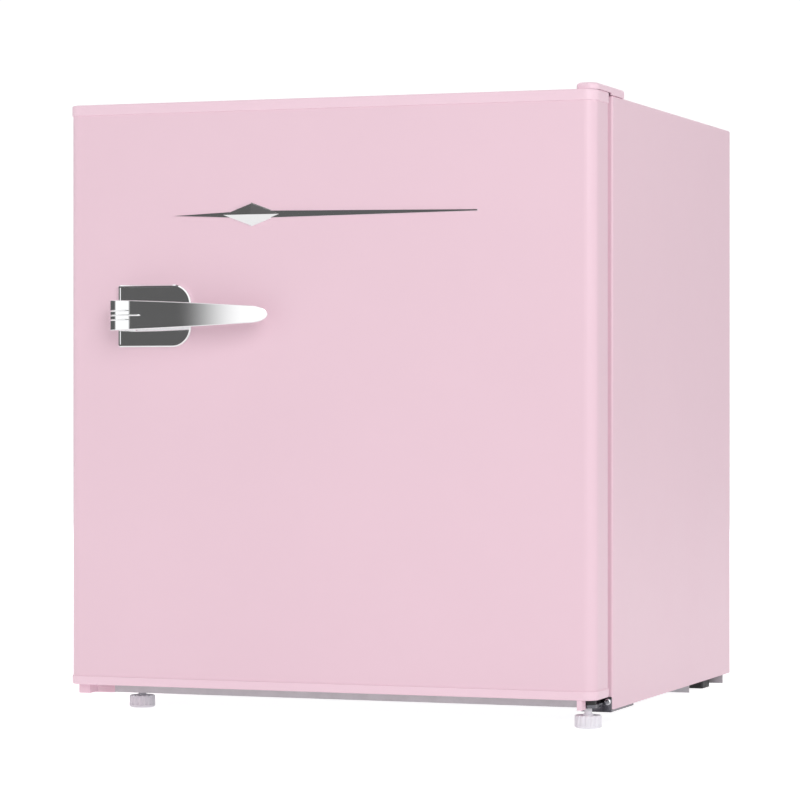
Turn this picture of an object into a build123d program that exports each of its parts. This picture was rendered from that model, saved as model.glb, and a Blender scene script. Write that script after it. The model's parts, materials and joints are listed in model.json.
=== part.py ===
"""Compact retro mini fridge as separate pieces. Millimetres, +Z up, front towards -Y, floor at Z = 0."""
import math
import os

from build123d import *

# Overall sizes
WIDTH = 445.0          # cabinet and door cap width
CAB_TOP = 489.7        # top of the cabinet above the floor
SIDE_BOTTOM = 12.3     # lower edge of the cabinet sides
DOOR_BOTTOM = 22.7
DOOR_TOP = 491.1
DOOR_T = 35.4          # door thickness at the caps
DOOR_GAP = 11.0        # gap between door and cabinet, filled by the gasket
CAB_DEPTH = 365.0
HANDLE_OUT = 33.0      # handle stands this far in front of the door caps
REAR_OUT = 18.0        # condenser stands this far behind the cabinet

DEPTH = HANDLE_OUT + DOOR_T + DOOR_GAP + CAB_DEPTH + REAR_OUT
Y_DOOR = -DEPTH / 2 + HANDLE_OUT      # front plane of the door caps
Y_BACK = Y_DOOR + DOOR_T              # rear plane of the door
Y_CAB = Y_BACK + DOOR_GAP             # front plane of the cabinet
Y_REAR = Y_CAB + CAB_DEPTH            # rear plane of the cabinet
HALF = WIDTH / 2

# Cabinet walls
SHEET = 0.8            # outer steel
PANEL = 0.6            # rear and bottom steel
LINER_T = 1.5
FLANGE = 32.0          # front flange of the outer shell
TOP_R = 2.0
EDGE_R = 1.6
FRAME_X = HALF - FLANGE
FRAME_LO = 58.0
RAIL_X = 202.5         # half width of the front rail
FRAME_HI = CAB_TOP - FLANGE
LIN_X = FRAME_X - 3.0                 # liner outside half width
LIN_LO = FRAME_LO + 3.0
LIN_HI = FRAME_HI - 3.0
FLOOR_Z = 20.0                        # underside of the bottom panel
BAY_Y = Y_REAR - 150.0                # compressor bay front wall
BAY_Z = 165.0                         # compressor bay ceiling
STEP_Y = BAY_Y - 31.0
STEP_Z = BAY_Z + 31.0
LIN_REAR = Y_REAR - 42.0

# Hinge line
PIN_X = 210.0
PIN_Y = Y_DOOR + 22.0
UPPER_PIN_R = 3.0
LOWER_PIN_R = 4.5
RUN = 0.05             # radial running clearance

# Door
SKIN_IN = 0.8          # door skin sits this far inside the caps
DOOR_R = 10.0
TOP_CAP_H = 8.6
BOTTOM_CAP_H = 7.0
CAP_WALL = 2.5
LIP_R = 0.6            # rounding of the cap edge next to the skin
DYKE = 20.0            # raised rim of the door liner
DYKE_X0, DYKE_X1 = -178.0, 172.0
DYKE_Z0, DYKE_Z1 = 73.0, 443.0
DYKE_W = 14.0
Y_SKIN = Y_DOOR + SKIN_IN

# Inside fittings
EVAP_X0, EVAP_X1 = -170.0, 118.0
EVAP_Z0, EVAP_Z1 = 345.0, 446.5
EVAP_Y0 = Y_CAB + 127.0
EVAP_Y1 = LIN_REAR - 22.0
EVAP_T = 1.4
RIB_OUT = 8.0
SHELF_LEVELS = (230.0, 284.0)
SHELF_Z = 230.3
FLAP_PIN_Y = Y_CAB + 116.5
FLAP_PIN_Z = 446.0

# Rear fittings
BASE_Y0 = Y_DOOR + 335.0
BASE_Z = SIDE_BOTTOM + SHEET
COMP_X, COMP_Y = 60.0, Y_REAR - 74.0
TUBE_R = 2.4
WIRE_R = 0.8
COIL_Y = Y_REAR + REAR_OUT - TUBE_R - 2 * WIRE_R
RUN_Z = [190.0 + 40.0 * i for i in range(7)]

os.makedirs("parts", exist_ok=True)
made = {}


def keep(name, shape):
    """Store one node's solid or solids."""
    made[name] = shape
    return shape


def block(x0, x1, y0, y1, z0, z1):
    """Axis-aligned box between two corners."""
    centre = ((x0 + x1) / 2, (y0 + y1) / 2, (z0 + z1) / 2)
    return Pos(*centre) * Box(abs(x1 - x0), abs(y1 - y0), abs(z1 - z0))


def rod_z(x, y, z0, z1, r):
    return Pos(x, y, (z0 + z1) / 2) * Cylinder(r, z1 - z0)


def rod_x(x0, x1, y, z, r):
    return Pos((x0 + x1) / 2, y, z) * Rot(0, 90, 0) * Cylinder(r, x1 - x0)


def rod_y(x, y0, y1, z, r):
    return Pos(x, (y0 + y1) / 2, z) * Rot(90, 0, 0) * Cylinder(r, y1 - y0)


def fuse(first, *others):
    out = first
    for other in others:
        out = out + other
    return out


def group(shapes):
    """Separate solids kept together in one node."""
    return Compound(children=list(shapes))


def tube(points, bend, r):
    """Round bar bent along a path."""
    path = FilletPolyline(*points, radius=bend)
    section = Plane(origin=path @ 0, z_dir=path % 0) * Circle(r)
    return sweep(section, path=path)


def profile_x(points, x0, x1):
    """Solid with a YZ outline, running from x0 to x1."""
    face = make_face(Plane.YZ * Polyline(*points, close=True))
    return Pos(x0, 0, 0) * extrude(face, amount=x1 - x0, dir=(1, 0, 0))


def rounded_plan(x0, x1, y0, y1, z0, z1, r):
    """Slab whose two front vertical edges are rounded."""
    body = block(x0, x1, y0, y1, z0, z1)
    front = body.edges().filter_by(Axis.Z).group_by(Axis.Y)[0]
    return fillet(front, r)


# Cabinet shell and walls ---------------------------------------------------------------------

def cabinet_form(inset):
    """Outside of the cabinet, moved inwards by the sheet thickness when inset is not zero."""
    low = SIDE_BOTTOM + inset
    body = block(-HALF + inset, HALF - inset, Y_CAB + inset, Y_REAR - inset, low, CAB_TOP - inset)
    long_top = body.edges().filter_by(Axis.Y).group_by(Axis.Z)[-1]
    body = fillet(long_top, TOP_R - inset)
    front = body.edges().group_by(Axis.Y)[0]
    return fillet(front, EDGE_R - inset)


form = cabinet_form(0)
inside = cabinet_form(SHEET)
shell = form - inside
shell -= block(-FRAME_X, FRAME_X, Y_CAB - 1, Y_CAB + 5, 0, FRAME_HI)
shell -= block(-RAIL_X, RAIL_X, Y_CAB - 1, Y_CAB + SHEET, 0, FRAME_LO)
shell -= block(-HALF + 12, HALF - 12, Y_REAR - 3, Y_REAR + 1, 0, CAB_TOP - 12)
shell -= block(-HALF + SHEET, HALF - SHEET, Y_REAR - SHEET, Y_REAR + 1, 0, 150)
shell -= block(-HALF + 16, HALF - 16, Y_CAB + SHEET, Y_REAR + 1, 0, SIDE_BOTTOM + 2)

rear_panel = inside & block(-HALF, HALF, Y_REAR - SHEET - PANEL, Y_REAR, 150, CAB_TOP)
y_in = Y_REAR - SHEET - PANEL
bay_outline = [
    (Y_CAB + SHEET, FLOOR_Z), (BAY_Y, FLOOR_Z), (BAY_Y, BAY_Z), (y_in, BAY_Z),
    (y_in, BAY_Z + PANEL), (BAY_Y - PANEL, BAY_Z + PANEL),
    (BAY_Y - PANEL, FLOOR_Z + PANEL), (Y_CAB + SHEET, FLOOR_Z + PANEL),
]
bay_panel = profile_x(bay_outline, -HALF + SHEET, HALF - SHEET)
keep("bay_panel", bay_panel)


def liner_form(t, y_front):
    """Cabin shape: tall at the front, stepped over the compressor bay. t is the distance inside the wall."""
    outline = [
        (y_front, LIN_LO + t), (STEP_Y - t, LIN_LO + t), (STEP_Y - t, STEP_Z + t),
        (LIN_REAR - t, STEP_Z + t), (LIN_REAR - t, LIN_HI - t), (y_front, LIN_HI - t),
    ]
    body = profile_x(outline, -LIN_X + t, LIN_X - t)
    y_limit = body.edges().sort_by(Axis.Y)[0].center().Y + 0.01
    rear_edges = [e for e in body.edges() if e.center().Y > y_limit]
    return fillet(rear_edges, 9.0 - t)


liner_out = liner_form(0, Y_CAB)
liner_lip = block(-FRAME_X, FRAME_X, Y_CAB, Y_CAB + LINER_T, FRAME_LO, FRAME_HI)
cabin = liner_form(LINER_T, Y_CAB)
liner_solid = liner_out + liner_lip
foam = inside & block(-HALF, HALF, Y_CAB, y_in, FLOOR_Z + PANEL, CAB_TOP)
foam -= block(-HALF, HALF, BAY_Y - PANEL, Y_REAR, 0, BAY_Z + PANEL)
foam -= liner_solid
liner = liner_solid - cabin
rib_y0, rib_y1 = Y_CAB + 70, LIN_REAR - LINER_T - 8
for level in SHELF_LEVELS:
    for side in (-1, 1):
        for z in (level - 4.0, level + 8.0):
            xs = sorted((side * (LIN_X - LINER_T - RIB_OUT), side * (LIN_X - LINER_T / 2)))
            rib = block(xs[0], xs[1], rib_y0, rib_y1, z, z + 4.0)
            tips = rib.edges().filter_by(Axis.Z).sort_by(lambda e: abs(e.center().X))[:2]
            liner += fillet(tips, 3.0)
drain_y = STEP_Y - 24
liner = liner - rod_z(0, drain_y, LIN_LO - 1, LIN_LO + 3, 4)

rail = block(-RAIL_X, RAIL_X, Y_CAB, Y_CAB + SHEET, 13.0, FRAME_LO)
rail += block(-RAIL_X, RAIL_X, Y_CAB + SHEET, Y_CAB + 34, 13.1, 13.9)
rail += block(-RAIL_X, RAIL_X, Y_CAB + 33.2, Y_CAB + 34, 13.9, FLOOR_Z)

# Feet ----------------------------------------------------------------------------------------

FOOT_L = (-185.0, Y_DOOR + 62.0)
FOOT_R = (PIN_X, PIN_Y)


def foot(x, y, stem_top):
    """Ribbed round pad moulded on a threaded stem."""
    pad = rod_z(x, y, 0, 10, 10.5)
    pad = fillet(pad.edges().group_by(Axis.Z)[0], 2.0)
    pad = fillet(pad.edges().group_by(Axis.Z)[-1], 1.0)
    for i in range(16):
        a = math.radians(i * 22.5)
        pad -= rod_z(x + 10.8 * math.cos(a), y + 10.8 * math.sin(a), 2.2, 11.0, 1.35)
    return pad + rod_z(x, y, 9.5, 10.8, 4.2) + rod_z(x, y, 9.5, stem_top, 3.0)


keep("foot_left", foot(*FOOT_L, 19.0))
keep("foot_right", foot(*FOOT_R, 33.0))
rail -= rod_z(*FOOT_L, 12, 15, 3.0 + RUN)
nut = Pos(FOOT_L[0], FOOT_L[1], 16.8) * extrude(RegularPolygon(7.0, 6), amount=2.9, both=True)
keep("foot_nut", nut - rod_z(*FOOT_L, 12, 21, 3.0 + RUN))
rear_feet = []
for side in (-1, 1):
    pad = block(side * 192.5 - 12.5, side * 192.5 + 12.5, Y_DOOR + 384, Y_DOOR + 409, 0, BASE_Z)
    rear_feet.append(fillet(pad.edges().filter_by(Axis.Z), 2.0))
keep("rear_feet", group(rear_feet))

# Lower hinge ---------------------------------------------------------------------------------

LEG_Z0, LEG_Z1 = 15.5, 18.0
LEG_HALF = 6.4
STRIP_Z = 10.3
WEB_X0, WEB_X1 = 197.4, 222.0
leg = block(PIN_X - LEG_HALF, PIN_X + LEG_HALF, PIN_Y, Y_CAB, LEG_Z0, LEG_Z1)
leg += rod_z(PIN_X, PIN_Y, LEG_Z0, LEG_Z1, LEG_HALF)
web = block(WEB_X0, WEB_X1, Y_CAB - 2.0, Y_CAB, STRIP_Z, 22.2)
strip = block(WEB_X0 + 7, WEB_X1 - 0.5, Y_CAB - 1, Y_CAB + 62, STRIP_Z, SIDE_BOTTOM)
lower_bracket = leg + web + strip
lower_bracket -= rod_z(PIN_X, PIN_Y, 10, 20, LOWER_PIN_R)
lower_screws = []
for x in (WEB_X0 + 3.0, WEB_X1 - 2.8):
    head = rod_y(x, Y_CAB - 3.6, Y_CAB - 2.0, 18.4, 2.6)
    head = fillet(head.edges().group_by(Axis.Y)[0], 1.0)
    shank = rod_y(x, Y_CAB - 2.1, Y_CAB + 12, 18.4, 1.2)
    lower_screws.append(head + shank)
    lower_bracket -= shank
keep("lower_hinge_bracket", lower_bracket)
keep("lower_hinge_screws", group(lower_screws))
lower_pin = rod_z(PIN_X, PIN_Y, LEG_Z0, 41, LOWER_PIN_R)
lower_pin = chamfer(lower_pin.edges().group_by(Axis.Z)[-1], 1.0)
keep("lower_hinge_pin", lower_pin - rod_z(PIN_X, PIN_Y, 10, 34, 3.0 + RUN))
bush = rod_z(PIN_X, PIN_Y, LEG_Z1, DOOR_BOTTOM - 0.4, 6.2)
bush -= rod_z(PIN_X, PIN_Y, 10, 30, LOWER_PIN_R + RUN)
keep("lower_hinge_bushing", bush)
for screw in lower_screws:
    shell -= screw
    rail -= screw
keep("front_rail", rail)

# Upper hinge ---------------------------------------------------------------------------------

low, up = CAB_TOP, DOOR_TOP + 1.1
strap_outline = [
    (Y_CAB + 29, low), (Y_CAB + 5, low), (Y_CAB + 1, up), (PIN_Y - 9, up),
    (PIN_Y - 9, up + 2), (Y_CAB + 2, up + 2), (Y_CAB + 6, low + 2), (Y_CAB + 29, low + 2),
]
strap = profile_x(strap_outline, 206.2, 220.8)
upper_pin = rod_z(PIN_X, PIN_Y, DOOR_TOP - 16, up + 2.6, UPPER_PIN_R)
upper_pin += rod_z(PIN_X, PIN_Y, up + 2, up + 2.8, 4.0)
strap -= rod_z(PIN_X, PIN_Y, up - 1, up + 2, UPPER_PIN_R)
upper_screws = []
for y in (Y_CAB + 12, Y_CAB + 22):
    screw = rod_z(213.4, y, CAB_TOP - 14, CAB_TOP + 2, 1.9)
    screw += rod_z(213.4, y, CAB_TOP + 2, CAB_TOP + 3.8, 3.6)
    upper_screws.append(screw)
    strap -= screw
    shell -= screw
    foam -= screw
keep("upper_hinge_bracket", strap)
keep("upper_hinge_pin", upper_pin)
keep("upper_hinge_screws", group(upper_screws))
cover = block(204.5, HALF, Y_DOOR + 3, Y_CAB + 32, CAB_TOP, DOOR_TOP + 5.3)
cover = fillet(cover.edges().filter_by(Axis.Z).group_by(Axis.Y)[0], 8.0)
cover = fillet(cover.edges().group_by(Axis.Z)[-1], 2.6)
cover -= block(205.7, HALF - 1.2, Y_DOOR + 8, Y_CAB + 30.8, CAB_TOP - 1, DOOR_TOP + 4.3)
cover -= block(200, HALF + 1, Y_DOOR, Y_CAB - 3, CAB_TOP - 1, DOOR_TOP + 0.15)
keep("hinge_cover", cover)
plugs = []
for x, y in ((-213.4, Y_CAB + 12), (-213.4, Y_CAB + 22)):
    plug = rod_z(x, y, CAB_TOP - 6, CAB_TOP, 2.4) + rod_z(x, y, CAB_TOP, CAB_TOP + 0.9, 4.4)
    plugs.append(plug)
    shell -= plug
    foam -= plug
keep("spare_hole_plugs", group(plugs))

# Freezer box, flap, tray, thermostat ---------------------------------------------------------

evap = block(EVAP_X0, EVAP_X1, EVAP_Y0, EVAP_Y1, EVAP_Z0, EVAP_Z1)
evap = fillet(evap.edges().filter_by(Axis.Y), 8.0)
hollow = block(EVAP_X0 + EVAP_T, EVAP_X1 - EVAP_T, EVAP_Y0 - 1, EVAP_Y1 + 1,
               EVAP_Z0 + EVAP_T, EVAP_Z1 - EVAP_T)
evap -= fillet(hollow.edges().filter_by(Axis.Y), 8.0 - EVAP_T)
for i in range(5):
    y = EVAP_Y0 + 24 + i * 30
    evap += block(EVAP_X0 + 14, EVAP_X1 - 14, y, y + 9, EVAP_Z0 - 1.0, EVAP_Z0 + 0.4)
ceiling = LIN_HI - LINER_T
evap_screws, evap_spacers = [], []
for x in (EVAP_X0 + 26, EVAP_X1 - 26):
    for y in (EVAP_Y0 + 24, EVAP_Y1 - 24):
        screw = rod_z(x, y, EVAP_Z1 - EVAP_T, ceiling + 12, 1.9)
        screw += rod_z(x, y, EVAP_Z1 - EVAP_T - 2, EVAP_Z1 - EVAP_T, 4.0)
        evap_screws.append(screw)
        evap_spacers.append(rod_z(x, y, EVAP_Z1, ceiling, 5.0) - screw)
        evap -= screw
        liner -= screw
        foam -= screw
keep("evaporator_box", evap)
keep("evaporator_screws", group(evap_screws))
keep("evaporator_spacers", group(evap_spacers))

FRAME_Y0, FRAME_Y1 = EVAP_Y0 - 6, EVAP_Y0
frame = block(EVAP_X0 - 3, EVAP_X1 + 3, FRAME_Y0, FRAME_Y1, EVAP_Z0 - 2, EVAP_Z1 + 3)
frame = fillet(frame.edges().filter_by(Axis.Y), 7.0)
frame -= block(EVAP_X0 + 9, EVAP_X1 - 9, FRAME_Y0 - 1, FRAME_Y1 + 1, EVAP_Z0 + 9, EVAP_Z1 - 9)
for x0, x1 in ((EVAP_X0 - 6, EVAP_X0 - 2.5), (EVAP_X1 + 2.5, EVAP_X1 + 6)):
    ear = block(x0, x1, FLAP_PIN_Y - 4, FRAME_Y1, FLAP_PIN_Z - 8, FLAP_PIN_Z + 4)
    frame += ear
frame -= rod_x(EVAP_X0 - 8, EVAP_X1 + 8, FLAP_PIN_Y, FLAP_PIN_Z, 2.0 + RUN)
keep("freezer_frame", frame)
flap_x0, flap_x1 = EVAP_X0 - 1.9, EVAP_X1 + 1.9
flap = block(flap_x0, flap_x1, FLAP_PIN_Y - 1.5, FLAP_PIN_Y + 1.5, EVAP_Z0, FLAP_PIN_Z)
flap += rod_x(flap_x0, flap_x1, FLAP_PIN_Y, FLAP_PIN_Z, 3.6)
flap += rod_x(flap_x0 - 3.6, flap_x1 + 3.6, FLAP_PIN_Y, FLAP_PIN_Z, 2.0)
flap += block(-76, 24, FLAP_PIN_Y - 6.5, FLAP_PIN_Y, EVAP_Z0, EVAP_Z0 + 3)
flap += block(-76, 24, FLAP_PIN_Y - 6.5, FLAP_PIN_Y - 4.5, EVAP_Z0, EVAP_Z0 + 9)
keep("freezer_flap", flap)

TRAY_Z0, TRAY_Z1 = 316.0, 333.0
tray = block(EVAP_X0 + 9, EVAP_X1 - 9, EVAP_Y0, EVAP_Y1 - 10, TRAY_Z0, TRAY_Z1)
tray = fillet(tray.edges().filter_by(Axis.Z), 6.0)
tray = fillet(tray.edges().group_by(Axis.Z)[0], 3.0)
tray += block(EVAP_X0 + 3, EVAP_X1 - 3, EVAP_Y0, EVAP_Y1 - 10, TRAY_Z1 - 2, TRAY_Z1)
pocket = block(EVAP_X0 + 11, EVAP_X1 - 11, EVAP_Y0 + 2, EVAP_Y1 - 12, TRAY_Z0 + 2, TRAY_Z1 + 1)
tray -= fillet(pocket.edges().filter_by(Axis.Z), 4.0)
tray += block(-70, 18, EVAP_Y0 - 7, EVAP_Y0 + 1, TRAY_Z1 - 2, TRAY_Z1)
keep("drip_tray", tray)
runners = []
for side, edge in ((1, EVAP_X0 + 1), (-1, EVAP_X1 - 1)):
    web = sorted((edge, edge + side * 1.6))
    lip = sorted((edge, edge + side * 7.4))
    web_part = block(web[0], web[1], EVAP_Y0 + 6, EVAP_Y1 - 12, TRAY_Z1 - 4.1, EVAP_Z0 - 2)
    lip_part = block(lip[0], lip[1], EVAP_Y0 + 6, EVAP_Y1 - 12, TRAY_Z1 - 4.1, TRAY_Z1 - 2.4)
    top_lip = sorted((edge + side * 7, edge + side * 13))
    hook_x = (min(web[0], top_lip[0]), max(web[1], top_lip[1]))
    hook = block(*hook_x, EVAP_Y0 + 6, EVAP_Y1 - 12, EVAP_Z0 - 3, EVAP_Z0 - 1)
    hang = block(top_lip[0], top_lip[1], EVAP_Y0 + 6, EVAP_Y0 + 26, EVAP_Z0 - 2, EVAP_Z0)
    hang_back = block(top_lip[0], top_lip[1], EVAP_Y1 - 32, EVAP_Y1 - 12, EVAP_Z0 - 2, EVAP_Z0)
    runners.append(fuse(web_part, lip_part, hook, hang, hang_back))
keep("tray_runners", group(runners))

TH_X0, TH_X1 = EVAP_X1 + 12, LIN_X - LINER_T
TH_Y0, TH_Y1 = EVAP_Y0 + 4, EVAP_Y0 + 92
TH_Z0, TH_Z1 = 372.0, 438.0
housing = block(TH_X0, TH_X1, TH_Y0, TH_Y1, TH_Z0, TH_Z1)
housing = fillet(housing.edges().filter_by(Axis.X), 8.0)
housing = fillet(housing.edges().group_by(Axis.X)[0], 3.0)
knob_x, knob_z = (TH_X0 + TH_X1) / 2, 405.0
core = block(TH_X0 + 2, TH_X1 + 1, TH_Y0 + 2, TH_Y1 - 2, TH_Z0 + 2, TH_Z1 - 2)
housing -= fillet(core.edges().filter_by(Axis.X), 6.0)
housing -= rod_y(knob_x, TH_Y0 - 1, TH_Y0 + 3, knob_z, 4.0 + RUN)
keep("thermostat_housing", housing)
knob = rod_y(knob_x, TH_Y0 - 13, TH_Y0 - 0.5, knob_z, 17.0)
knob = fillet(knob.edges().group_by(Axis.Y)[0], 2.5)
for i in range(20):
    a = math.radians(i * 18)
    knob -= rod_y(knob_x + 17.6 * math.cos(a), TH_Y0 - 14, TH_Y0 - 2.5, knob_z + 17.6 * math.sin(a), 1.3)
knob += rod_y(knob_x, TH_Y0 - 1, TH_Y0 + 8, knob_z, 4.0)
knob += block(knob_x - 1.5, knob_x + 1.5, TH_Y0 - 14.5, TH_Y0 - 12, knob_z, knob_z + 14)
keep("thermostat_knob", knob)
bulb = rod_y(EVAP_X1 + 2, EVAP_Y0 + 110, EVAP_Y0 + 170, 400, 2.0)
keep("thermostat_bulb", bulb)

# Shelf ---------------------------------------------------------------------------------------

SHELF_Y0, SHELF_Y1 = Y_CAB + 92, LIN_REAR - LINER_T - 9
glass = block(-181, 181, SHELF_Y0, SHELF_Y1, SHELF_Z, SHELF_Z + 4)
keep("shelf_glass", glass)
trim = block(-176, 176, SHELF_Y0 - 4, SHELF_Y0 + 12, SHELF_Z - 2.5, SHELF_Z + 6.5)
trim = fillet(trim.edges().filter_by(Axis.X).group_by(Axis.Y)[0], 3.5)
keep("shelf_front_trim", trim - glass)
back_trim = block(-176, 176, SHELF_Y1 - 9, SHELF_Y1 + 2, SHELF_Z - 2, SHELF_Z + 14)
back_trim -= block(-180, 180, SHELF_Y1 - 10, SHELF_Y1 - 1, SHELF_Z + 6, SHELF_Z + 15)
keep("shelf_rear_trim", back_trim - glass)

# Compressor bay ------------------------------------------------------------------------------

plate = block(-216, 216, BAY_Y + 2, Y_REAR + 1.2, BASE_Z, BASE_Z + 1.2)
plate += block(-216, 216, BAY_Y + 2, BAY_Y + 3.2, BASE_Z, BASE_Z + 13)
plate += block(-206, 206, BASE_Y0, BASE_Y0 + 1.2, 0.6, BASE_Z)
plate += block(-216, 216, Y_REAR, Y_REAR + 1.2, 2.8, BASE_Z)
GROM = [(COMP_X + sx * 66, COMP_Y + sy * 40) for sx in (-1, 1) for sy in (-1, 1)]
PLATE_TOP = BASE_Z + 1.2
FEET_Z = PLATE_TOP + 10
grommets, bolts = [], []
for x, y in GROM:
    bolt = rod_z(x, y, BASE_Z, FEET_Z + 3, 3.0) + rod_z(x, y, FEET_Z + 3, FEET_Z + 4, 8.0)
    bolt += Pos(x, y, FEET_Z + 6) * extrude(RegularPolygon(5.5, 6), amount=2, both=True)
    plate -= rod_z(x, y, 10, 20, 3.0)
    rubber = rod_z(x, y, PLATE_TOP, FEET_Z, 9.0) - rod_z(x, y, 10, 40, 3.0)
    grommets.append(rubber - (rod_z(x, y, PLATE_TOP + 4, PLATE_TOP + 6, 12) - rod_z(x, y, 10, 40, 7.5)))
    bolts.append(bolt)
keep("compressor_grommets", group(grommets))
keep("compressor_bolts", group(bolts))
feet_plate = block(COMP_X - 78, COMP_X + 78, COMP_Y - 52, COMP_Y + 52, FEET_Z, FEET_Z + 3)
feet_plate = fillet(feet_plate.edges().filter_by(Axis.Z), 10.0)
feet_plate -= rod_z(COMP_X, COMP_Y, 10, 40, 30)
for x, y in GROM:
    feet_plate -= rod_z(x, y, 10, 40, 3.0)
keep("compressor_feet", feet_plate)
can = rod_z(COMP_X, COMP_Y, FEET_Z + 3, 140, 56)
can = fillet(can.edges().group_by(Axis.Z)[-1], 26.0)
can = fillet(can.edges().group_by(Axis.Z)[0], 14.0)
can += rod_z(COMP_X, COMP_Y, 84, 88, 59)
relay = block(COMP_X + 50, COMP_X + 88, COMP_Y - 26, COMP_Y + 26, 44, 80)
relay = fillet(relay.edges().filter_by(Axis.X), 4.0)
keep("relay_cover", relay - rod_z(COMP_X, COMP_Y, 20, 140, 56.1))
LEFT = COMP_X - 56.0
can += rod_x(LEFT - 8, LEFT + 6, COMP_Y, 104, 4.0) + rod_x(LEFT - 8, LEFT + 6, COMP_Y, 58, 4.0)
can -= rod_x(LEFT - 9, LEFT - 2, COMP_Y, 104, TUBE_R) + rod_x(LEFT - 9, LEFT - 2, COMP_Y, 58, TUBE_R)
keep("compressor", can)
discharge = [
    (LEFT - 2, COMP_Y, 104), (-70, COMP_Y, 104), (-70, COIL_Y, 104),
    (-196, COIL_Y, 104), (-196, COIL_Y, 150),
]
keep("discharge_line", tube(discharge, 12, TUBE_R))
suction = [(LEFT - 2, COMP_Y, 58), (-34, COMP_Y, 58), (-34, BAY_Y + 20, 58), (-34, BAY_Y + 20, BAY_Z)]
keep("suction_line", tube(suction, 12, TUBE_R))
coil = [(-196, COIL_Y, 150)]
for i, z in enumerate(RUN_Z):
    ends = (-196, 196) if i % 2 == 0 else (196, -196)
    if i == len(RUN_Z) - 1:
        ends = (ends[0], 208)
    coil += [(ends[0], COIL_Y, z), (ends[1], COIL_Y, z)]
coil += [(208, COIL_Y, 120), (208, Y_REAR - 34, 120)]
keep("condenser_tube", tube(coil, 12, TUBE_R))
wires = []
for i in range(-14, 15):
    for y in (COIL_Y - TUBE_R - WIRE_R, COIL_Y + TUBE_R + WIRE_R):
        wires.append(rod_z(i * 12.5, y, RUN_Z[0] - 8, RUN_Z[-1] + 8, WIRE_R))
keep("condenser_wires", group(wires))
clips = []
for x in (-156.25, 156.25):
    for z in (RUN_Z[1], RUN_Z[5]):
        clip = block(x - 5, x + 5, Y_REAR - SHEET, COIL_Y + TUBE_R + 1, z - 7, z + 7)
        clip = fillet(clip.edges().filter_by(Axis.X).group_by(Axis.Y)[-1], 2.5)
        clips.append(clip - rod_x(x - 6, x + 6, COIL_Y, z, TUBE_R))
keep("condenser_clips", group(clips))
drier = rod_y(208, Y_REAR - 92, Y_REAR - 34, 120, 8.5)
drier = fillet(drier.edges().group_by(Axis.Y)[0], 5.0)
drier = fillet(drier.edges().group_by(Axis.Y)[-1], 5.0)
keep("filter_drier", drier)
cap_path = [(208, Y_REAR - 92, 120), (208, Y_REAR - 112, 120), (208, Y_REAR - 112, BAY_Z)]
keep("capillary_tube", tube(cap_path, 8, 1.0))
gland = block(-134, -108, Y_REAR - 24, Y_REAR - 4, PLATE_TOP, PLATE_TOP + 14)
gland = fillet(gland.edges().filter_by(Axis.Y).group_by(Axis.Z)[-1], 5.0)
keep("cord_gland", gland - rod_y(-121, Y_REAR - 30, Y_REAR + 1, PLATE_TOP + 7, 3.6))
base_screws = []
for x in (-212.0, 212.0):
    for y in (BAY_Y + 16, Y_REAR - 14):
        screw = rod_z(x, y, BASE_Z - SHEET, PLATE_TOP, 1.9)
        screw += Pos(x, y, PLATE_TOP + 1.3) * extrude(RegularPolygon(4.0, 6), amount=1.3, both=True)
        base_screws.append(screw)
        plate -= screw
        shell -= screw
keep("base_plate_screws", group(base_screws))
keep("compressor_base_plate", plate)
keep("outer_shell", shell)
keep("rear_panel", rear_panel)
keep("insulation_foam", foam)
keep("inner_liner", liner)

# Door ----------------------------------------------------------------------------------------

CAP_X = HALF
SKIN_X = HALF - SKIN_IN
SKIN_Z0, SKIN_Z1 = DOOR_BOTTOM + BOTTOM_CAP_H, DOOR_TOP - TOP_CAP_H
top_cap = rounded_plan(-CAP_X, CAP_X, Y_DOOR, Y_BACK, SKIN_Z1, DOOR_TOP, DOOR_R)
top_cap = fillet(top_cap.edges().group_by(Axis.Z)[-1], 1.4)
top_cap = fillet(top_cap.edges().group_by(Axis.Z)[0], LIP_R)
top_cap -= rounded_plan(-CAP_X + CAP_WALL, CAP_X - CAP_WALL, Y_DOOR + CAP_WALL, Y_BACK - CAP_WALL,
                        SKIN_Z1 - 1, DOOR_TOP - 3.0, DOOR_R - CAP_WALL)
top_cap += rod_z(PIN_X, PIN_Y, DOOR_TOP - 19, DOOR_TOP - 2.9, 7.0)
top_cap -= rod_z(PIN_X, PIN_Y, DOOR_TOP - 17, DOOR_TOP + 1, UPPER_PIN_R + RUN)
keep("door_top_cap", top_cap)
bottom_cap = rounded_plan(-CAP_X, CAP_X, Y_DOOR, Y_BACK, DOOR_BOTTOM, SKIN_Z0, DOOR_R)
bottom_cap = fillet(bottom_cap.edges().group_by(Axis.Z)[0], 1.6)
bottom_cap = fillet(bottom_cap.edges().group_by(Axis.Z)[-1], LIP_R)
bottom_cap -= rounded_plan(-CAP_X + CAP_WALL, CAP_X - CAP_WALL, Y_DOOR + CAP_WALL, Y_BACK - CAP_WALL,
                           DOOR_BOTTOM + 3.0, SKIN_Z0 + 1, DOOR_R - CAP_WALL)
bottom_cap += rod_z(PIN_X, PIN_Y, DOOR_BOTTOM + 2.9, DOOR_BOTTOM + 22, 8.0)
bottom_cap -= rod_z(PIN_X, PIN_Y, DOOR_BOTTOM - 1, DOOR_BOTTOM + 19.5, LOWER_PIN_R + RUN)
bottom_cap += block(207.0, 211.0, PIN_Y - 20.5, PIN_Y - 10.5, 15.0, DOOR_BOTTOM + 1)
bottom_cap += block(-HALF + 3.1, -HALF + 12.6, PIN_Y - 8, PIN_Y + 8, 14.6, DOOR_BOTTOM + 1)
keep("door_bottom_cap", bottom_cap)

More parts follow.
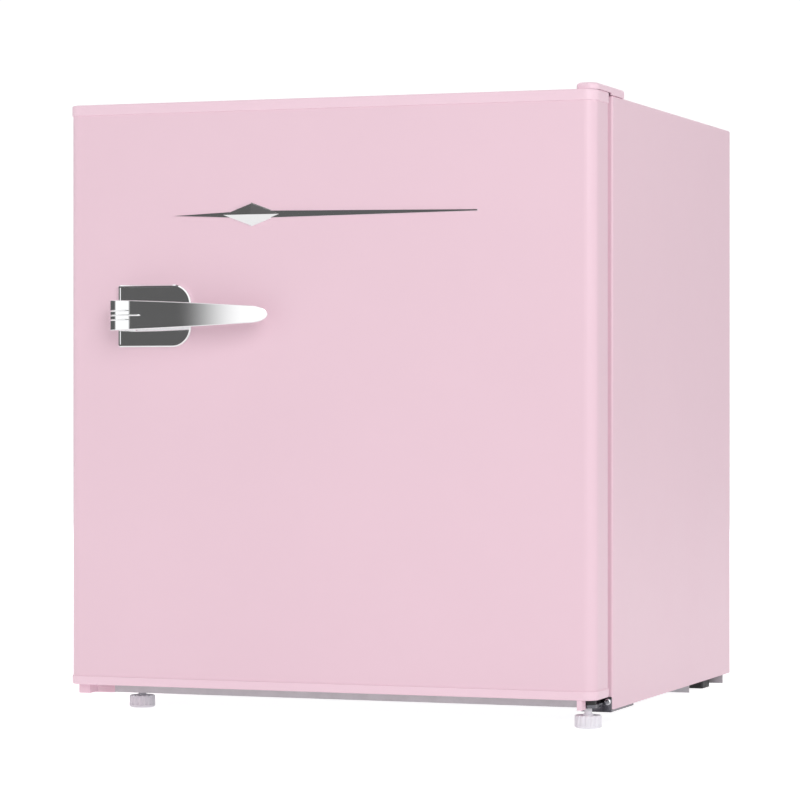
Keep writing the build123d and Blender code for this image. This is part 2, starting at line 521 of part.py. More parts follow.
skin = rounded_plan(-SKIN_X, SKIN_X, Y_SKIN, Y_BACK, SKIN_Z0, SKIN_Z1, DOOR_R - SKIN_IN)
skin_in = rounded_plan(-SKIN_X + SHEET, SKIN_X - SHEET, Y_SKIN + SHEET, Y_BACK + 1,
                       SKIN_Z0 - 1, SKIN_Z1 + 1, DOOR_R - SKIN_IN - SHEET)
skin_back = block(-SKIN_X + 12, SKIN_X - 12, Y_BACK - 5, Y_BACK + 1, SKIN_Z0 - 1, SKIN_Z1 + 1)
return_flange = block(-SKIN_X, SKIN_X, Y_BACK - SHEET, Y_BACK, SKIN_Z0, SKIN_Z1) - skin_back
skin = (skin - skin_in) + return_flange
door_inside = rounded_plan(-SKIN_X + SHEET, SKIN_X - SHEET, Y_SKIN + SHEET, Y_BACK - SHEET,
                           SKIN_Z0, SKIN_Z1, DOOR_R - SKIN_IN - SHEET)

# Inner door panel: a flat sheet with a raised rim that carries the racks
panel_x = SKIN_X - 12
panel = block(-panel_x, panel_x, Y_BACK - LINER_T, Y_BACK, SKIN_Z0, SKIN_Z1)
ring_out = block(DYKE_X0, DYKE_X1, Y_BACK - LINER_T, Y_BACK + DYKE, DYKE_Z0, DYKE_Z1)
ring_out = fillet(ring_out.edges().filter_by(Axis.Y), 12.0)
ring_out = fillet(ring_out.edges().group_by(Axis.Y)[-1], 4.0)
ring_hole = block(DYKE_X0 + DYKE_W, DYKE_X1 - DYKE_W, Y_BACK, Y_BACK + DYKE + 1,
                  DYKE_Z0 + DYKE_W, DYKE_Z1 - DYKE_W)
core = block(DYKE_X0 + LINER_T, DYKE_X1 - LINER_T, Y_BACK - 5, Y_BACK + DYKE - LINER_T,
             DYKE_Z0 + LINER_T, DYKE_Z1 - LINER_T)
core = fillet(core.edges().filter_by(Axis.Y), 10.5)
core -= block(DYKE_X0 + DYKE_W - LINER_T, DYKE_X1 - DYKE_W + LINER_T, Y_BACK - 6, Y_BACK + DYKE,
              DYKE_Z0 + DYKE_W - LINER_T, DYKE_Z1 - DYKE_W + LINER_T)
door_liner = (panel + ring_out) - ring_hole - core
RACKS = {"lower_rack": (90.0, 44.0, 75.0), "upper_rack": (262.0, 36.0, 58.0)}
RACK_X0, RACK_X1 = DYKE_X0 + DYKE_W + 0.8, DYKE_X1 - DYKE_W - 0.8
LUG_Y0, LUG_Y1 = Y_BACK + 5, Y_BACK + 13
for z0, high, out in RACKS.values():
    for x0, x1 in ((RACK_X0 - 1.2, RACK_X0 + 2.2), (RACK_X1 - 2.2, RACK_X1 + 1.2)):
        door_liner += block(x0, x1, LUG_Y0, LUG_Y1, z0 + 10, z0 + 20)
for name, (z0, high, out) in RACKS.items():
    y1 = Y_CAB + out
    rack = block(RACK_X0, RACK_X1, Y_BACK + 0.4, y1, z0, z0 + high)
    rack = fillet(rack.edges().filter_by(Axis.Z).group_by(Axis.Y)[-1], 14.0)
    rack = fillet(rack.edges().group_by(Axis.Z)[0].sort_by(Axis.Y)[1:], 3.0)
    pocket = block(RACK_X0 + 2.6, RACK_X1 - 2.6, Y_BACK + 2.8, y1 - 2.4, z0 + 2.4, z0 + high + 1)
    rack -= fillet(pocket.edges().filter_by(Axis.Z).group_by(Axis.Y)[-1], 11.6)
    for x0, x1 in ((RACK_X0 - 1, RACK_X0 + 2.5), (RACK_X1 - 2.5, RACK_X1 + 1)):
        rack -= block(x0, x1, LUG_Y0 - 0.4, LUG_Y1 + 0.4, z0 - 1, z0 + 20.4)
    keep(name, rack)

# Handle and trim on the door front
HAND_Z = 320.2
ESC_X0, ESC_X1, ESC_H = -177.2, -113.2, 50.0
esc = block(ESC_X0, ESC_X1, Y_SKIN - 4.2, Y_SKIN, HAND_Z - ESC_H / 2, HAND_Z + ESC_H / 2)
esc = fillet(esc.edges().filter_by(Axis.Y).group_by(Axis.X)[-1], 16.0)
esc = fillet(esc.edges().filter_by(Axis.Y).group_by(Axis.X)[0], 2.0)
esc = chamfer(esc.edges().group_by(Axis.Y)[0], 1.0)
dish_h = ESC_H / 2 - 2.2
dish = block(ESC_X0 + 2.2, ESC_X1 - 2.2, Y_SKIN - 5, Y_SKIN - 3.4, HAND_Z - dish_h, HAND_Z + dish_h)
esc -= fillet(dish.edges().filter_by(Axis.Y).group_by(Axis.X)[-1], 13.8)

LEV_X0, LEV_X1 = -176.8, -39.8
LEV_END = LEV_X1 + 4           # the plan outline runs past the rounded tip
FRONT = Y_DOOR - HANDLE_OUT
plan = Plane.XY * (
    Polyline((LEV_X0 + 17, Y_SKIN - 3.4), (LEV_X0, Y_SKIN - 3.4), (LEV_X0, FRONT + 12))
    + ThreePointArc((LEV_X0, FRONT + 12), (LEV_X0 + 3.6, FRONT + 3.6), (LEV_X0 + 12, FRONT))
    + ThreePointArc((LEV_X0 + 12, FRONT), (LEV_X0 + 74, FRONT + 0.9), (LEV_END, FRONT + 4.8))
    + Line((LEV_END, FRONT + 4.8), (LEV_END, FRONT + 8.8))
    + ThreePointArc((LEV_END, FRONT + 8.8), (LEV_X0 + 80, FRONT + 8.0), (LEV_X0 + 26, FRONT + 9.5))
    + ThreePointArc((LEV_X0 + 26, FRONT + 9.5), (LEV_X0 + 19.5, FRONT + 12.5), (LEV_X0 + 17, FRONT + 19))
    + Line((LEV_X0 + 17, FRONT + 19), (LEV_X0 + 17, Y_SKIN - 3.4))
)
lever = Pos(0, 0, HAND_Z - 14) * extrude(make_face(plan), amount=28, dir=(0, 0, 1))
TIP_R = 6.8
face_line = Plane.XZ * (
    Line((LEV_X0, HAND_Z - 12.2), (LEV_X0, HAND_Z + 12.2))
    + Spline((LEV_X0, HAND_Z + 12.2), (LEV_X0 + 50, HAND_Z + 9.0), (LEV_X1 - TIP_R, HAND_Z + TIP_R),
             tangents=[(1, 0), (1, 0)])
    + ThreePointArc((LEV_X1 - TIP_R, HAND_Z + TIP_R), (LEV_X1, HAND_Z), (LEV_X1 - TIP_R, HAND_Z - TIP_R))
    + Spline((LEV_X1 - TIP_R, HAND_Z - TIP_R), (LEV_X0 + 50, HAND_Z - 9.0), (LEV_X0, HAND_Z - 12.2),
             tangents=[(-1, 0), (-1, 0)])
)
lever = lever & extrude(make_face(face_line), amount=400, both=True)
for dz, reach in ((-6.0, 16.0), (0.0, 26.0), (6.0, 16.0)):
    band = block(LEV_X0 - 1, LEV_X0 + reach, FRONT - 1, FRONT + 1.0, HAND_Z + dz - 0.7, HAND_Z + dz + 0.7)
    lever -= band
    lever -= block(LEV_X0 - 1, LEV_X0 + 1.0, FRONT - 1, FRONT + 16, HAND_Z + dz - 0.7, HAND_Z + dz + 0.7)
handle_screws = []
for z in (HAND_Z - 6.5, HAND_Z + 6.5):
    screw = rod_y(LEV_X0 + 8.5, Y_SKIN - 12, Y_SKIN + SHEET, z, 2.0)
    screw += rod_y(LEV_X0 + 8.5, Y_SKIN + SHEET, Y_SKIN + SHEET + 2.4, z, 4.2)
    handle_screws.append(screw)
    esc -= screw
    skin -= screw
    lever -= screw
keep("handle_lever", lever)
keep("handle_escutcheon", esc - lever)
keep("handle_screws", group(handle_screws))
keep("door_skin", skin)

BADGE_Z = 400.0
BADGE_X0, BADGE_X1, BADGE_C = -130.6, 127.8, -62.0
wing_face = make_face(Plane.XZ * Polyline(
    (BADGE_X0, BADGE_Z), (BADGE_C, BADGE_Z + 3.4), (BADGE_X1, BADGE_Z + 0.8),
    (BADGE_X1, BADGE_Z - 0.8), (BADGE_C, BADGE_Z - 3.4), close=True))
lozenge = make_face(Plane.XZ * Polyline(
    (BADGE_C - 26, BADGE_Z), (BADGE_C, BADGE_Z + 9.5), (BADGE_C + 26, BADGE_Z), (BADGE_C, BADGE_Z - 9.5),
    close=True))
badge = Pos(0, Y_SKIN, 0) * extrude(wing_face, amount=1.8, dir=(0, -1, 0))
badge += Pos(0, Y_SKIN, 0) * extrude(lozenge, amount=2.6, dir=(0, -1, 0))
keep("door_badge", badge)

door_foam = door_inside - panel
door_foam += core & block(-HALF, HALF, Y_BACK - 4, Y_BACK + DYKE, 0, CAB_TOP)
for screw in handle_screws:
    door_foam -= screw
door_foam -= top_cap
door_foam -= bottom_cap
door_foam -= rod_z(PIN_X, PIN_Y, DOOR_TOP - 20, DOOR_TOP, 7.0)
door_foam -= rod_z(PIN_X, PIN_Y, DOOR_BOTTOM, DOOR_BOTTOM + 23, 8.0)
keep("door_foam", door_foam)
keep("door_liner", door_liner)


def ring(x0, x1, z0, z1, wide, y0, y1):
    """Rectangular ring with rounded outer corners, lying against the door."""
    outer = block(x0, x1, y0, y1, z0, z1)
    outer = fillet(outer.edges().filter_by(Axis.Y), 6.0)
    return outer - block(x0 + wide, x1 - wide, y0 - 1, y1 + 1, z0 + wide, z1 - wide)


GAS_X, GAS_Z0, GAS_Z1, GAS_W = 208.0, 37.0, 476.5, 14.0
gasket = ring(-GAS_X, GAS_X, GAS_Z0, GAS_Z1, GAS_W, Y_BACK, Y_BACK + 3)
gasket += ring(-GAS_X + 2.5, GAS_X - 2.5, GAS_Z0 + 2.5, GAS_Z1 - 2.5, 8, Y_BACK + 2.9, Y_BACK + 7)
gasket += ring(-GAS_X + 0.8, GAS_X - 0.8, GAS_Z0 + 0.8, GAS_Z1 - 0.8, 12, Y_BACK + 6.9, Y_CAB - 0.35)
keep("door_gasket", gasket)

for name, shape in made.items():
    export_step(shape, f"parts/{name}.step")
    print(name, len(shape.solids()), round(shape.volume, 1))
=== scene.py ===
import json
import math

import bmesh
import bpy
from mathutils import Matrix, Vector


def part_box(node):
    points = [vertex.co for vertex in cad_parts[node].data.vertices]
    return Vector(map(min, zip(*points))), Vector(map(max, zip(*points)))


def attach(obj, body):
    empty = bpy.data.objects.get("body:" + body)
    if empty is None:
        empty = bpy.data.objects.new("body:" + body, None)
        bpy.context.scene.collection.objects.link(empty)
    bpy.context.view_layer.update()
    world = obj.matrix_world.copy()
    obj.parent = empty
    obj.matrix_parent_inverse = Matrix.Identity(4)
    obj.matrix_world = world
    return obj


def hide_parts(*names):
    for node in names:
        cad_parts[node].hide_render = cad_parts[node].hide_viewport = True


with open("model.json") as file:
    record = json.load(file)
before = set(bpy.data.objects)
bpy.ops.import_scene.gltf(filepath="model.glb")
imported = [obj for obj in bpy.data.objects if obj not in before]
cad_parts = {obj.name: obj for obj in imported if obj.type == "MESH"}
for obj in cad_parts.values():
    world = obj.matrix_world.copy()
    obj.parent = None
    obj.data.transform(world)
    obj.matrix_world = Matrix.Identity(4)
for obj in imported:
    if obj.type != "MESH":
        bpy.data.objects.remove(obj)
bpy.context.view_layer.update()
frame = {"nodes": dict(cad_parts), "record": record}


# Node helpers --------------------------------------------------------------------------------

class Tree:
    """Small wrapper that adds and links shader nodes."""

    def __init__(self, tree):
        self.tree = tree

    def add(self, kind, inputs=None, **props):
        node = self.tree.nodes.new(kind)
        for key, value in props.items():
            setattr(node, key, value)
        for key, value in (inputs or {}).items():
            socket = node.inputs[key]
            if isinstance(value, bpy.types.NodeSocket):
                self.tree.links.new(value, socket)
            else:
                socket.default_value = value
        return node

    def math(self, op, a, b=0.0, c=0.0):
        return self.add("ShaderNodeMath", {0: a, 1: b, 2: c}, operation=op).outputs[0]

    def noise(self, vector, scale, detail=3.0, rough=0.5):
        inputs = {"Vector": vector, "Scale": scale, "Detail": detail, "Roughness": rough}
        node = self.add("ShaderNodeTexNoise", inputs)
        return node.outputs["Fac"]

    def remap(self, value, lo, hi, to_lo, to_hi, smooth=False):
        inputs = {"Value": value, "From Min": lo, "From Max": hi, "To Min": to_lo, "To Max": to_hi}
        node = self.add("ShaderNodeMapRange", inputs)
        node.interpolation_type = "SMOOTHSTEP" if smooth else "LINEAR"
        return node.outputs["Result"]

    def mix(self, fac, a, b):
        node = self.add("ShaderNodeMix", data_type="RGBA")
        for index, value in ((0, fac), (6, a), (7, b)):
            if isinstance(value, bpy.types.NodeSocket):
                self.tree.links.new(value, node.inputs[index])
            else:
                node.inputs[index].default_value = value
        return node.outputs[2]


def srgb(r, g, b):
    """Linear colour from 0-255 display values."""
    out = []
    for v in (r, g, b):
        v = v / 255
        out.append(v / 12.92 if v <= 0.04045 else ((v + 0.055) / 1.055) ** 2.4)
    return (*out, 1.0)


def shade(colour, k):
    """The same colour made darker or lighter by the factor k."""
    return (colour[0] * k, colour[1] * k, colour[2] * k, 1.0)


DUST = srgb(176, 168, 160)
BUMP_DISTANCE = 0.0002


def material(name, base, rough, metallic=0.0, spread=0.04, tone_scale=9.0, rough_spread=0.05, bump=0.0,
             bump_scale=400.0, stretch=(1, 1, 1), coat=0.0, coat_rough=0.1, dust=0.0, fixed=None):
    """Principled material whose tone and roughness vary over the object, with fine bump and dust if asked."""
    mat = bpy.data.materials.new(name)
    mat.use_nodes = True
    mat.node_tree.nodes.clear()
    t = Tree(mat.node_tree)
    out = t.add("ShaderNodeOutputMaterial")
    bsdf = t.add("ShaderNodeBsdfPrincipled")
    t.tree.links.new(bsdf.outputs[0], out.inputs[0])
    coord = t.add("ShaderNodeTexCoord").outputs["Object"]
    scaled = t.add("ShaderNodeMapping", {"Vector": coord, "Scale": stretch}).outputs[0]
    tone = t.noise(scaled, tone_scale, 4.0, 0.55)
    colour = t.mix(t.remap(tone, 0.3, 0.7, 0.0, 1.0), shade(base, 1 - spread), shade(base, 1 + spread * 0.6))
    if dust:
        up = t.add("ShaderNodeSeparateXYZ", {0: t.add("ShaderNodeNewGeometry").outputs["Normal"]}).outputs[2]
        speck = t.noise(coord, 60.0, 6.0, 0.65)
        film = t.math("MULTIPLY", t.remap(up, 0.2, 1.0, 0.0, dust, True), t.remap(speck, 0.35, 0.7, 0.2, 1.0))
        colour = t.mix(film, colour, DUST)
    t.tree.links.new(colour, bsdf.inputs["Base Color"])
    fine = t.noise(scaled, tone_scale * 5.0, 5.0, 0.6)
    rough_value = t.remap(fine, 0.3, 0.7, rough - rough_spread, rough + rough_spread)
    t.tree.links.new(rough_value, bsdf.inputs["Roughness"])
    bsdf.inputs["Metallic"].default_value = metallic
    bsdf.inputs["Coat Weight"].default_value = coat
    bsdf.inputs["Coat Roughness"].default_value = coat_rough
    for key, value in (fixed or {}).items():
        bsdf.inputs[key].default_value = value
    if bump:
        peel = t.noise(scaled, bump_scale, 2.0, 0.5)
        node = t.add("ShaderNodeBump", {"Strength": bump, "Distance": BUMP_DISTANCE, "Height": peel})
        t.tree.links.new(node.outputs[0], bsdf.inputs["Normal"])
    return mat


PINK = srgb(240, 207, 220)
PINK_CAP = srgb(245, 213, 226)
MATS = {
    "pink_paint": material("pink_paint", PINK, 0.34, spread=0.012, tone_scale=5.0, rough_spread=0.03,
                           coat=0.08, coat_rough=0.2, fixed={"Specular IOR Level": 0.3}),
    "pink_plastic": material("pink_plastic", PINK_CAP, 0.35, spread=0.012, tone_scale=12.0, rough_spread=0.04,
                             fixed={"Specular IOR Level": 0.4}),
    "galvanised": material("galvanised", srgb(206, 204, 208), 0.42, metallic=0.8, spread=0.06,
                           tone_scale=70.0, rough_spread=0.10, dust=0.1),
    "steel_dark": material("steel_dark", srgb(120, 120, 126), 0.18, metallic=1.0, spread=0.15,
                           tone_scale=60.0, rough_spread=0.05),
    "steel_bright": material("steel_bright", srgb(214, 214, 218), 0.19, metallic=1.0, spread=0.06,
                             tone_scale=90.0, stretch=(1, 1, 5)),
    "chrome": material("chrome", srgb(247, 247, 248), 0.055, metallic=1.0, spread=0.012, tone_scale=14.0,
                       rough_spread=0.018, bump=0.015, bump_scale=120.0),
    "black_paint": material("black_paint", srgb(30, 30, 32), 0.36, spread=0.25, tone_scale=30.0,
                            rough_spread=0.08, bump=0.10, bump_scale=300.0, dust=0.35),
    "foam": material("foam", srgb(236, 220, 170), 0.9, spread=0.10, tone_scale=40.0, bump=0.6,
                     bump_scale=260.0),
    "white_plastic": material("white_plastic", srgb(248, 248, 246), 0.36, spread=0.01, tone_scale=14.0,
                              rough_spread=0.05),
    "grey_plastic": material("grey_plastic", srgb(240, 238, 244), 0.37, spread=0.03, tone_scale=60.0,
                             rough_spread=0.06),
    "black_plastic": material("black_plastic", srgb(34, 34, 36), 0.48, spread=0.15, tone_scale=60.0,
                              rough_spread=0.08, bump=0.16, bump_scale=600.0, dust=0.25),
    "clear_plastic": material("clear_plastic", srgb(242, 248, 251), 0.14, spread=0.01, tone_scale=20.0,
                              rough_spread=0.04, fixed={"Transmission Weight": 0.7, "IOR": 1.49}),
    "glass": material("glass", srgb(246, 252, 249), 0.04, spread=0.01, tone_scale=20.0, rough_spread=0.02,
                      fixed={"Transmission Weight": 1.0, "IOR": 1.5}),
    "rubber": material("rubber", srgb(38, 38, 40), 0.75, spread=0.2, tone_scale=80.0, bump=0.25,
                       bump_scale=500.0),
    # Pink gasket colour, darkened as painted shade for the dim gap between door and cabinet
    "gasket": material("gasket", srgb(196, 150, 169), 0.55, spread=0.05, tone_scale=40.0, bump=0.1,
                       bump_scale=500.0),
    "aluminium": material("aluminium", srgb(206, 209, 212), 0.38, metallic=0.95, spread=0.05, tone_scale=30.0,
                          stretch=(1, 12, 12), rough_spread=0.09, bump=0.10, bump_scale=90.0),
    "copper": material("copper", srgb(196, 120, 82), 0.36, metallic=1.0, spread=0.22, tone_scale=45.0,
                       rough_spread=0.07),
}


def dress_cad_nodes():
    """Give every CAD piece the material that its record slot names."""
    slot_of = {item["node"]: item["material_slot"] for item in frame["record"]["subparts"]}
    for name, obj in frame["nodes"].items():
        chosen = MATS[slot_of[name]]
        if not obj.material_slots:
            obj.data.materials.append(chosen)
        for slot in obj.material_slots:
            slot.material = chosen


# Mesh helpers --------------------------------------------------------------------------------

WELD = 1e-7


def new_object(name, verts, faces, mat, smooth=True):
    """Mesh object with welded points and outward normals."""
    mesh = bpy.data.meshes.new(name)
    mesh.from_pydata([tuple(v) for v in verts], [], faces)
    bm = bmesh.new()
    bm.from_mesh(mesh)
    bmesh.ops.remove_doubles(bm, verts=bm.verts, dist=WELD)
    bmesh.ops.recalc_face_normals(bm, faces=bm.faces)
    bm.to_mesh(mesh)
    bm.free()
    for poly in mesh.polygons:
        poly.use_smooth = smooth
    obj = bpy.data.objects.new(name, mesh)
    bpy.context.scene.collection.objects.link(obj)
    mesh.materials.append(mat)
    return obj


def smoothstep(a, b, x):
    """0 up to a, 1 from b on, and a soft rise between them."""
    t = min(1.0, max(0.0, (x - a) / (b - a)))
    return t * t * (3 - 2 * t)


# Handle lever: a cast bar that leaves the plate, bends and runs to a rounded tip ----------------

LEVER_SIDE = 0.0036              # centre line of the root, in from the left end of the piece
LEVER_FRONT = 0.0044             # centre line of the long run, in from the front of the piece
BEND_WIDE, BEND_DEEP = 0.0240, 0.0125
ROOT_LEAN = 0.0030
SLOW_TURN = 0.0092 / 0.74        # how much the long run turns inwards
STRAIGHT_SHARE = 0.14            # share of the long run before it starts to turn inwards
ROOT_HALF_THICK, THINNING = 0.0038, 0.0010
THIN_FROM, THIN_TO = 0.03, 0.08  # length along the bar over which it gets thinner
TIP_HALF_HEIGHT, TIP_RUN = 0.0069, 0.0150
TAPER_POWER = 1.45               # above 1 the height narrows late
LAST_TIP_SHARE = 0.9997          # the rounded tip stops just short of a point
TIP_THICK_SHARE = 0.45           # thickness that the very end of the tip keeps
LEVER_CORNER = 0.0007
RIDGE_RISE, RIDGE_HALF = 0.00045, 0.00042
RIDGE_START, RIDGE_FULL, RIDGE_FADE = 0.002, 0.008, 0.002
RIDGES = ((-0.0036, 0.038), (0.0, 0.048), (0.0036, 0.038))   # height off the middle, and reach along the bar
ROOT_STEPS, BEND_STEPS, RUN_STEPS = 11, 40, 100
FACE_STEPS, CORNER_STEPS = 160, 7


def lever_path(lo, hi):
    """Centre line in plan: out from the plate, round the bend, then along the door, turning slowly in."""
    left, front = lo[0] + LEVER_SIDE, lo[1] + LEVER_FRONT
    pts = []
    for i in range(ROOT_STEPS + 1):
        f = i / ROOT_STEPS
        lean = ROOT_LEAN * (1 - f) ** 2
        pts.append((left + lean, hi[1] + (front + BEND_DEEP - hi[1]) * f))
    for i in range(1, BEND_STEPS + 1):
        a = math.radians(180 + 90 * i / BEND_STEPS)
        pts.append((left + BEND_WIDE + BEND_WIDE * math.cos(a), front + BEND_DEEP + BEND_DEEP * math.sin(a)))
    start = left + BEND_WIDE
    run = hi[0] - start
    for i in range(1, RUN_STEPS + 1):
        f = i / RUN_STEPS
        pts.append((start + run * f, front + SLOW_TURN * max(0.0, f - STRAIGHT_SHARE) ** 2))
    return pts


def ridge_height(s, z):
    """Rise of the three thin ridges at the length s along the bar and the height z off its middle."""
    rise = 0.0
    for middle, reach in RIDGES:
        on = smoothstep(RIDGE_START, RIDGE_FULL, s) * (1 - smoothstep(reach - RIDGE_FADE, reach, s))
        rise += RIDGE_RISE * on * math.exp(-((z - middle) / RIDGE_HALF) ** 4)
    return rise


def section(half_h, half_t, s):
    """Rounded rectangle. The first value points away from the door, the second is the height."""
    out = []
    r = min(LEVER_CORNER, half_h * 0.9, half_t * 0.9)
    for i in range(FACE_STEPS + 1):
        z = -(half_h - r) + 2 * (half_h - r) * i / FACE_STEPS
        out.append((half_t + ridge_height(s, z), z))
    for sx, sz, a0 in ((1, 1, 0), (-1, 1, 90), (-1, -1, 180), (1, -1, 270)):
        for i in range(1, CORNER_STEPS + 1):
            a = math.radians(a0 + 90 * i / CORNER_STEPS)
            out.append((sx * (half_t - r) + r * math.cos(a), sz * (half_h - r) + r * math.sin(a)))
    return out[:-1]


def lever_piece():
    """The bar, swept along its centre line and joined to the door."""
    lo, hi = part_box("handle_lever")
    zc, root_h = (lo[2] + hi[2]) / 2, (hi[2] - lo[2]) / 2
    pts = lever_path(lo, hi)
    verts, faces = [], []
    length = [0.0]
    for p, q in zip(pts, pts[1:]):
        length.append(length[-1] + math.dist(p, q))
    for k, (px, py) in enumerate(pts):
        p, q = pts[max(0, k - 1)], pts[min(len(pts) - 1, k + 1)]
        span = math.dist(p, q)
        nx, ny = (q[1] - p[1]) / span, -(q[0] - p[0]) / span
        along = min(1.0, max(0.0, (px - lo[0]) / (hi[0] - TIP_RUN - lo[0])))
        full = root_h + (TIP_HALF_HEIGHT - root_h) * along ** TAPER_POWER
        past = max(0.0, px - (hi[0] - TIP_RUN)) / TIP_RUN
        cap = math.sqrt(max(0.0, 1 - min(LAST_TIP_SHARE, past) ** 2))
        thick = ROOT_HALF_THICK - THINNING * smoothstep(THIN_FROM, THIN_TO, length[k])
        thick *= TIP_THICK_SHARE + (1 - TIP_THICK_SHARE) * cap
        for w, z in section(full * cap, thick, length[k]):
            verts.append((px + nx * w, py + ny * w, zc + z))
    rows = len(pts)
    ring = len(verts) // rows
    for k in range(rows - 1):
        for j in range(ring):
            m = (j + 1) % ring
            faces.append((k * ring + j, k * ring + m, (k + 1) * ring + m, (k + 1) * ring + j))
    faces.append(tuple(range(ring)))
    faces.append(tuple(range((rows - 1) * ring, rows * ring))[::-1])
    obj = new_object("handle_lever_cast", verts, faces, MATS["chrome"])
    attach(obj, "door")
    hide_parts("handle_lever")


# Door ornament -----------------------------------------------------------------------------------

LOZENGE_SHARE = 0.265            # where the lozenge sits along the spear
LOZENGE_HALF_WIDE = 0.026
SPEAR_HALF, SPEAR_END_HALF = 0.0034, 0.0010
SPEAR_RISE, SPEAR_RIM = 0.0014, 0.0005
LOZENGE_PEAK, LOZENGE_RIM = 0.0011, 0.0008
LIP_SHARE = 0.45                 # height of the upright edge below the bevelled rim


def plate_on_door(outline, back, out, rim, peak):
    """Raised plate with a bevelled rim and a low faceted top, from a convex outline of (x, z) points."""
    n = len(outline)
    inner = []
    for i in range(n):
        (x0, z0), (x1, z1), (x2, z2) = outline[i - 1], outline[i], outline[(i + 1) % n]
        a = Vector((x1 - x0, z1 - z0)).normalized()
        b = Vector((x2 - x1, z2 - z1)).normalized()
        na, nb = Vector((a.y, -a.x)), Vector((b.y, -b.x))
        mid = (na + nb).normalized()
        reach = rim / max(0.25, mid.dot(na))
        inner.append((x1 + mid.x * reach, z1 + mid.y * reach))
    lip = back + (out - back) * LIP_SHARE
    verts = []
    for y, loop in ((back, outline), (lip, outline), (out, inner)):
        verts += [(x, y, z) for x, z in loop]
    faces = []
    for level in (0, 1):
        for i in range(n):
            j = (i + 1) % n
            faces.append((level * n + i, level * n + j, (level + 1) * n + j, (level + 1) * n + i))
    verts.append((peak[0], out - peak[1], peak[2]))
    for i in range(n):
        faces.append((2 * n + i, 2 * n + (i + 1) % n, 3 * n))
    return verts, faces


def badge_piece():
    """Slim spear with a faceted lozenge across it, both with bright bevelled rims."""
    lo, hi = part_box("door_badge")
    zc, half = (lo[2] + hi[2]) / 2, (hi[2] - lo[2]) / 2
    mid_x = lo[0] + (hi[0] - lo[0]) * LOZENGE_SHARE
    spear = [(lo[0], zc), (mid_x, zc + SPEAR_HALF), (hi[0], zc + SPEAR_END_HALF),
             (hi[0], zc - SPEAR_END_HALF), (mid_x, zc - SPEAR_HALF)]
    lozenge = [(mid_x - LOZENGE_HALF_WIDE, zc), (mid_x, zc + half), (mid_x + LOZENGE_HALF_WIDE, zc),
               (mid_x, zc - half)]
    verts, faces = [], []
    plates = ((spear, hi[1] - SPEAR_RISE, SPEAR_RIM, 0.0),
              (lozenge, lo[1] + LOZENGE_PEAK, LOZENGE_RIM, LOZENGE_PEAK))
    for outline, out, rim, rise in plates:
        points, sides = plate_on_door(outline, hi[1], out, rim, (mid_x, rise, zc))
        faces += [tuple(i + len(verts) for i in face) for face in sides]
        verts += points
    obj = new_object("door_badge_spear", verts, faces, MATS["chrome"], smooth=False)
    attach(obj, "door")
    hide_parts("door_badge")


# Stage, light, camera --------------------------------------------------------------------------

FLOOR_HALF = 9.0
FLOOR_GLOW, FLOOR_GLOW_SEEN = 0.48, 0.84      # the glow that lights the object, and the one the camera sees
WORLD_SOFT, WORLD_SEEN = 0.39, 1.05           # surround as soft light, and as background
GLOSS_BRIGHT, GLOSS_DARK = 1.12, 0.113        # surround in reflections, outside and inside the grey cards
FRONT_CARD = (4, 19, 31, 36)                  # bearings: fade in from, to, fade out from, to
LEFT_CARD = (72, 82, 160, 176)
LID_CARD = (28, 34, 76, 84)
REAR_CARD, REAR_GREY = (-178, -170, -138, -122), 0.65


def area_light(name, location, target, size, power, in_reflections=True):
    """Rectangular light aimed at a point. It can be hidden from reflections."""
    data = bpy.data.lights.new(name, "AREA")
    data.shape = "RECTANGLE"
    data.size, data.size_y = size
    data.energy = power
    obj = bpy.data.objects.new(name, data)
    obj.location = location
    obj.rotation_euler = (Vector(target) - Vector(location)).to_track_quat("-Z", "Y").to_euler()
    obj.visible_glossy = in_reflections
    bpy.context.scene.collection.objects.link(obj)


def floor_piece():
    """Plain pale floor under the feet."""
    mat = bpy.data.materials.new("stage_floor")
    mat.use_nodes = True
    bsdf = mat.node_tree.nodes["Principled BSDF"]
    t = Tree(mat.node_tree)
    coord = t.add("ShaderNodeTexCoord").outputs["Object"]
    tone = t.remap(t.noise(coord, 3.0), 0.3, 0.7, 0.0, 1.0)
    t.tree.links.new(t.mix(tone, (0.50, 0.50, 0.502, 1), (0.52, 0.52, 0.52, 1)), bsdf.inputs["Base Color"])
    bsdf.inputs["Roughness"].default_value = 0.9
    bsdf.inputs["Specular IOR Level"].default_value = 0.1
    bsdf.inputs["Emission Color"].default_value = (1, 1, 1, 1)
    seen = t.add("ShaderNodeLightPath").outputs["Is Camera Ray"]
    t.tree.links.new(t.remap(seen, 0.0, 1.0, FLOOR_GLOW, FLOOR_GLOW_SEEN), bsdf.inputs["Emission Strength"])
    r = FLOOR_HALF
    verts = [(-r, -r, 0), (r, -r, 0), (r, r, 0), (-r, r, 0)]
    obj = new_object("stage_floor", verts, [(0, 1, 2, 3)], mat, smooth=False)


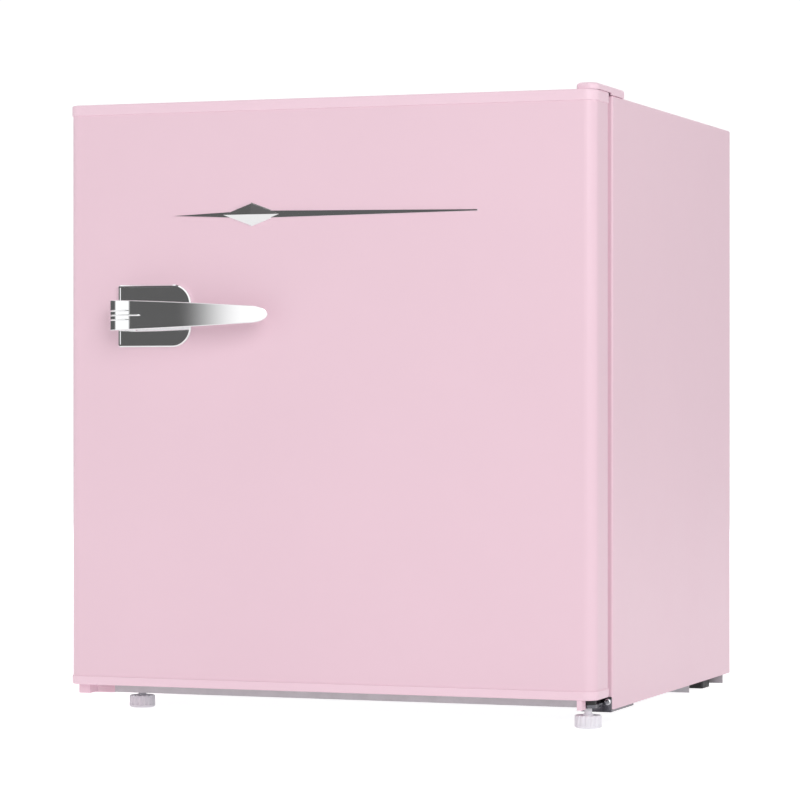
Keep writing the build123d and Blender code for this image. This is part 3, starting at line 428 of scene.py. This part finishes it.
def world_light():
    """Even white surround. Reflections see grey cards around the object, so chrome reads as chrome."""
    world = bpy.data.worlds.new("studio")
    world.use_nodes = True
    world.node_tree.nodes.clear()
    t = Tree(world.node_tree)
    out = t.add("ShaderNodeOutputWorld")
    axes = t.add("ShaderNodeSeparateXYZ", {0: t.add("ShaderNodeTexCoord").outputs["Generated"]})
    west, south = (t.math("MULTIPLY", axes.outputs[i], -1.0) for i in (0, 1))
    turn = t.math("DEGREES", t.math("ARCTAN2", west, south))

    def card(a0, a1, b0, b1):
        """Grey card between two bearings with soft ends. 0 degrees is in front and 90 is on the left."""
        rise = t.remap(turn, a0, a1, 0.0, 1.0, True)
        fall = t.remap(turn, b0, b1, 1.0, 0.0, True)
        return t.math("MULTIPLY", rise, fall)

    cards = t.math("MAXIMUM", card(*FRONT_CARD), card(*LEFT_CARD))
    level_band = t.remap(t.math("ABSOLUTE", axes.outputs[2]), 0.28, 0.5, 1.0, 0.0, True)
    steep = t.remap(t.math("ABSOLUTE", axes.outputs[2]), 0.35, 0.5, 0.0, 0.9, True)
    lids = t.math("MULTIPLY", card(*LID_CARD), steep)
    beside = t.math("MULTIPLY", card(*REAR_CARD), REAR_GREY)
    dark = t.math("MAXIMUM", t.math("MULTIPLY", cards, level_band), t.math("MAXIMUM", lids, beside))
    gloss = t.remap(dark, 0.0, 1.0, GLOSS_BRIGHT, GLOSS_DARK)
    path = t.add("ShaderNodeLightPath")
    soft = t.add("ShaderNodeBackground", {"Color": (1, 1, 1, 1), "Strength": WORLD_SOFT})
    shiny = t.add("ShaderNodeBackground", {"Color": (1, 1, 1, 1), "Strength": gloss})
    seen = t.add("ShaderNodeBackground", {"Color": (1, 1, 1, 1), "Strength": WORLD_SEEN})
    lit_inputs = {0: path.outputs["Is Glossy Ray"], 1: soft.outputs[0], 2: shiny.outputs[0]}
    lit = t.add("ShaderNodeMixShader", lit_inputs)
    mixed_inputs = {0: path.outputs["Is Camera Ray"], 1: lit.outputs[0], 2: seen.outputs[0]}
    mixed = t.add("ShaderNodeMixShader", mixed_inputs)
    t.tree.links.new(mixed.outputs[0], out.inputs[0])
    bpy.context.scene.world = world


def lights(front):
    """Key light from the front right. The others only soften the shading and stay out of reflections."""
    focus = (0, front, 0.25)
    area_light("key", (1.9, front - 2.6, 1.5), focus, (1.9, 1.9), 44)
    area_light("fill", (-1.8, front - 2.8, 0.8), focus, (2.0, 2.0), 8.5, in_reflections=False)
    area_light("top", (0, 0.1, 2.6), (0, 0.0, 0.3), (2.0, 2.0), 10, in_reflections=False)
    area_light("side", (-2.9, 0.5, 1.3), (0, 0.1, 0.25), (2.0, 2.0), 34, in_reflections=False)
    area_light("right", (3.3, 0.7, 1.7), (0.22, 0.05, 0.4), (1.6, 1.6), 13, in_reflections=False)
    area_light("back", (-0.9, 3.2, 1.4), (0, 0.2, 0.25), (2.2, 2.2), 34, in_reflections=False)


def add_camera(front):
    """Level camera at half the height of the door, to the right of the front."""
    camera = bpy.data.objects.new("camera", bpy.data.cameras.new("camera"))
    camera.data.sensor_width = 36
    camera.data.lens = 148.2
    camera.data.shift_y = -0.0044
    camera.data.clip_end = 60
    camera.location = (0.9444, front - 2.4137, 0.2556)
    camera.rotation_euler = (math.radians(90), 0, math.radians(20.05))
    bpy.context.scene.collection.objects.link(camera)
    bpy.context.scene.camera = camera
    view = bpy.context.scene.view_settings
    view.view_transform = "Standard"
    view.look = "None"


dress_cad_nodes()
badge_piece()
lever_piece()
floor_piece()
world_light()
door_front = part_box("door_top_cap")[0][1]
lights(door_front)
add_camera(door_front)
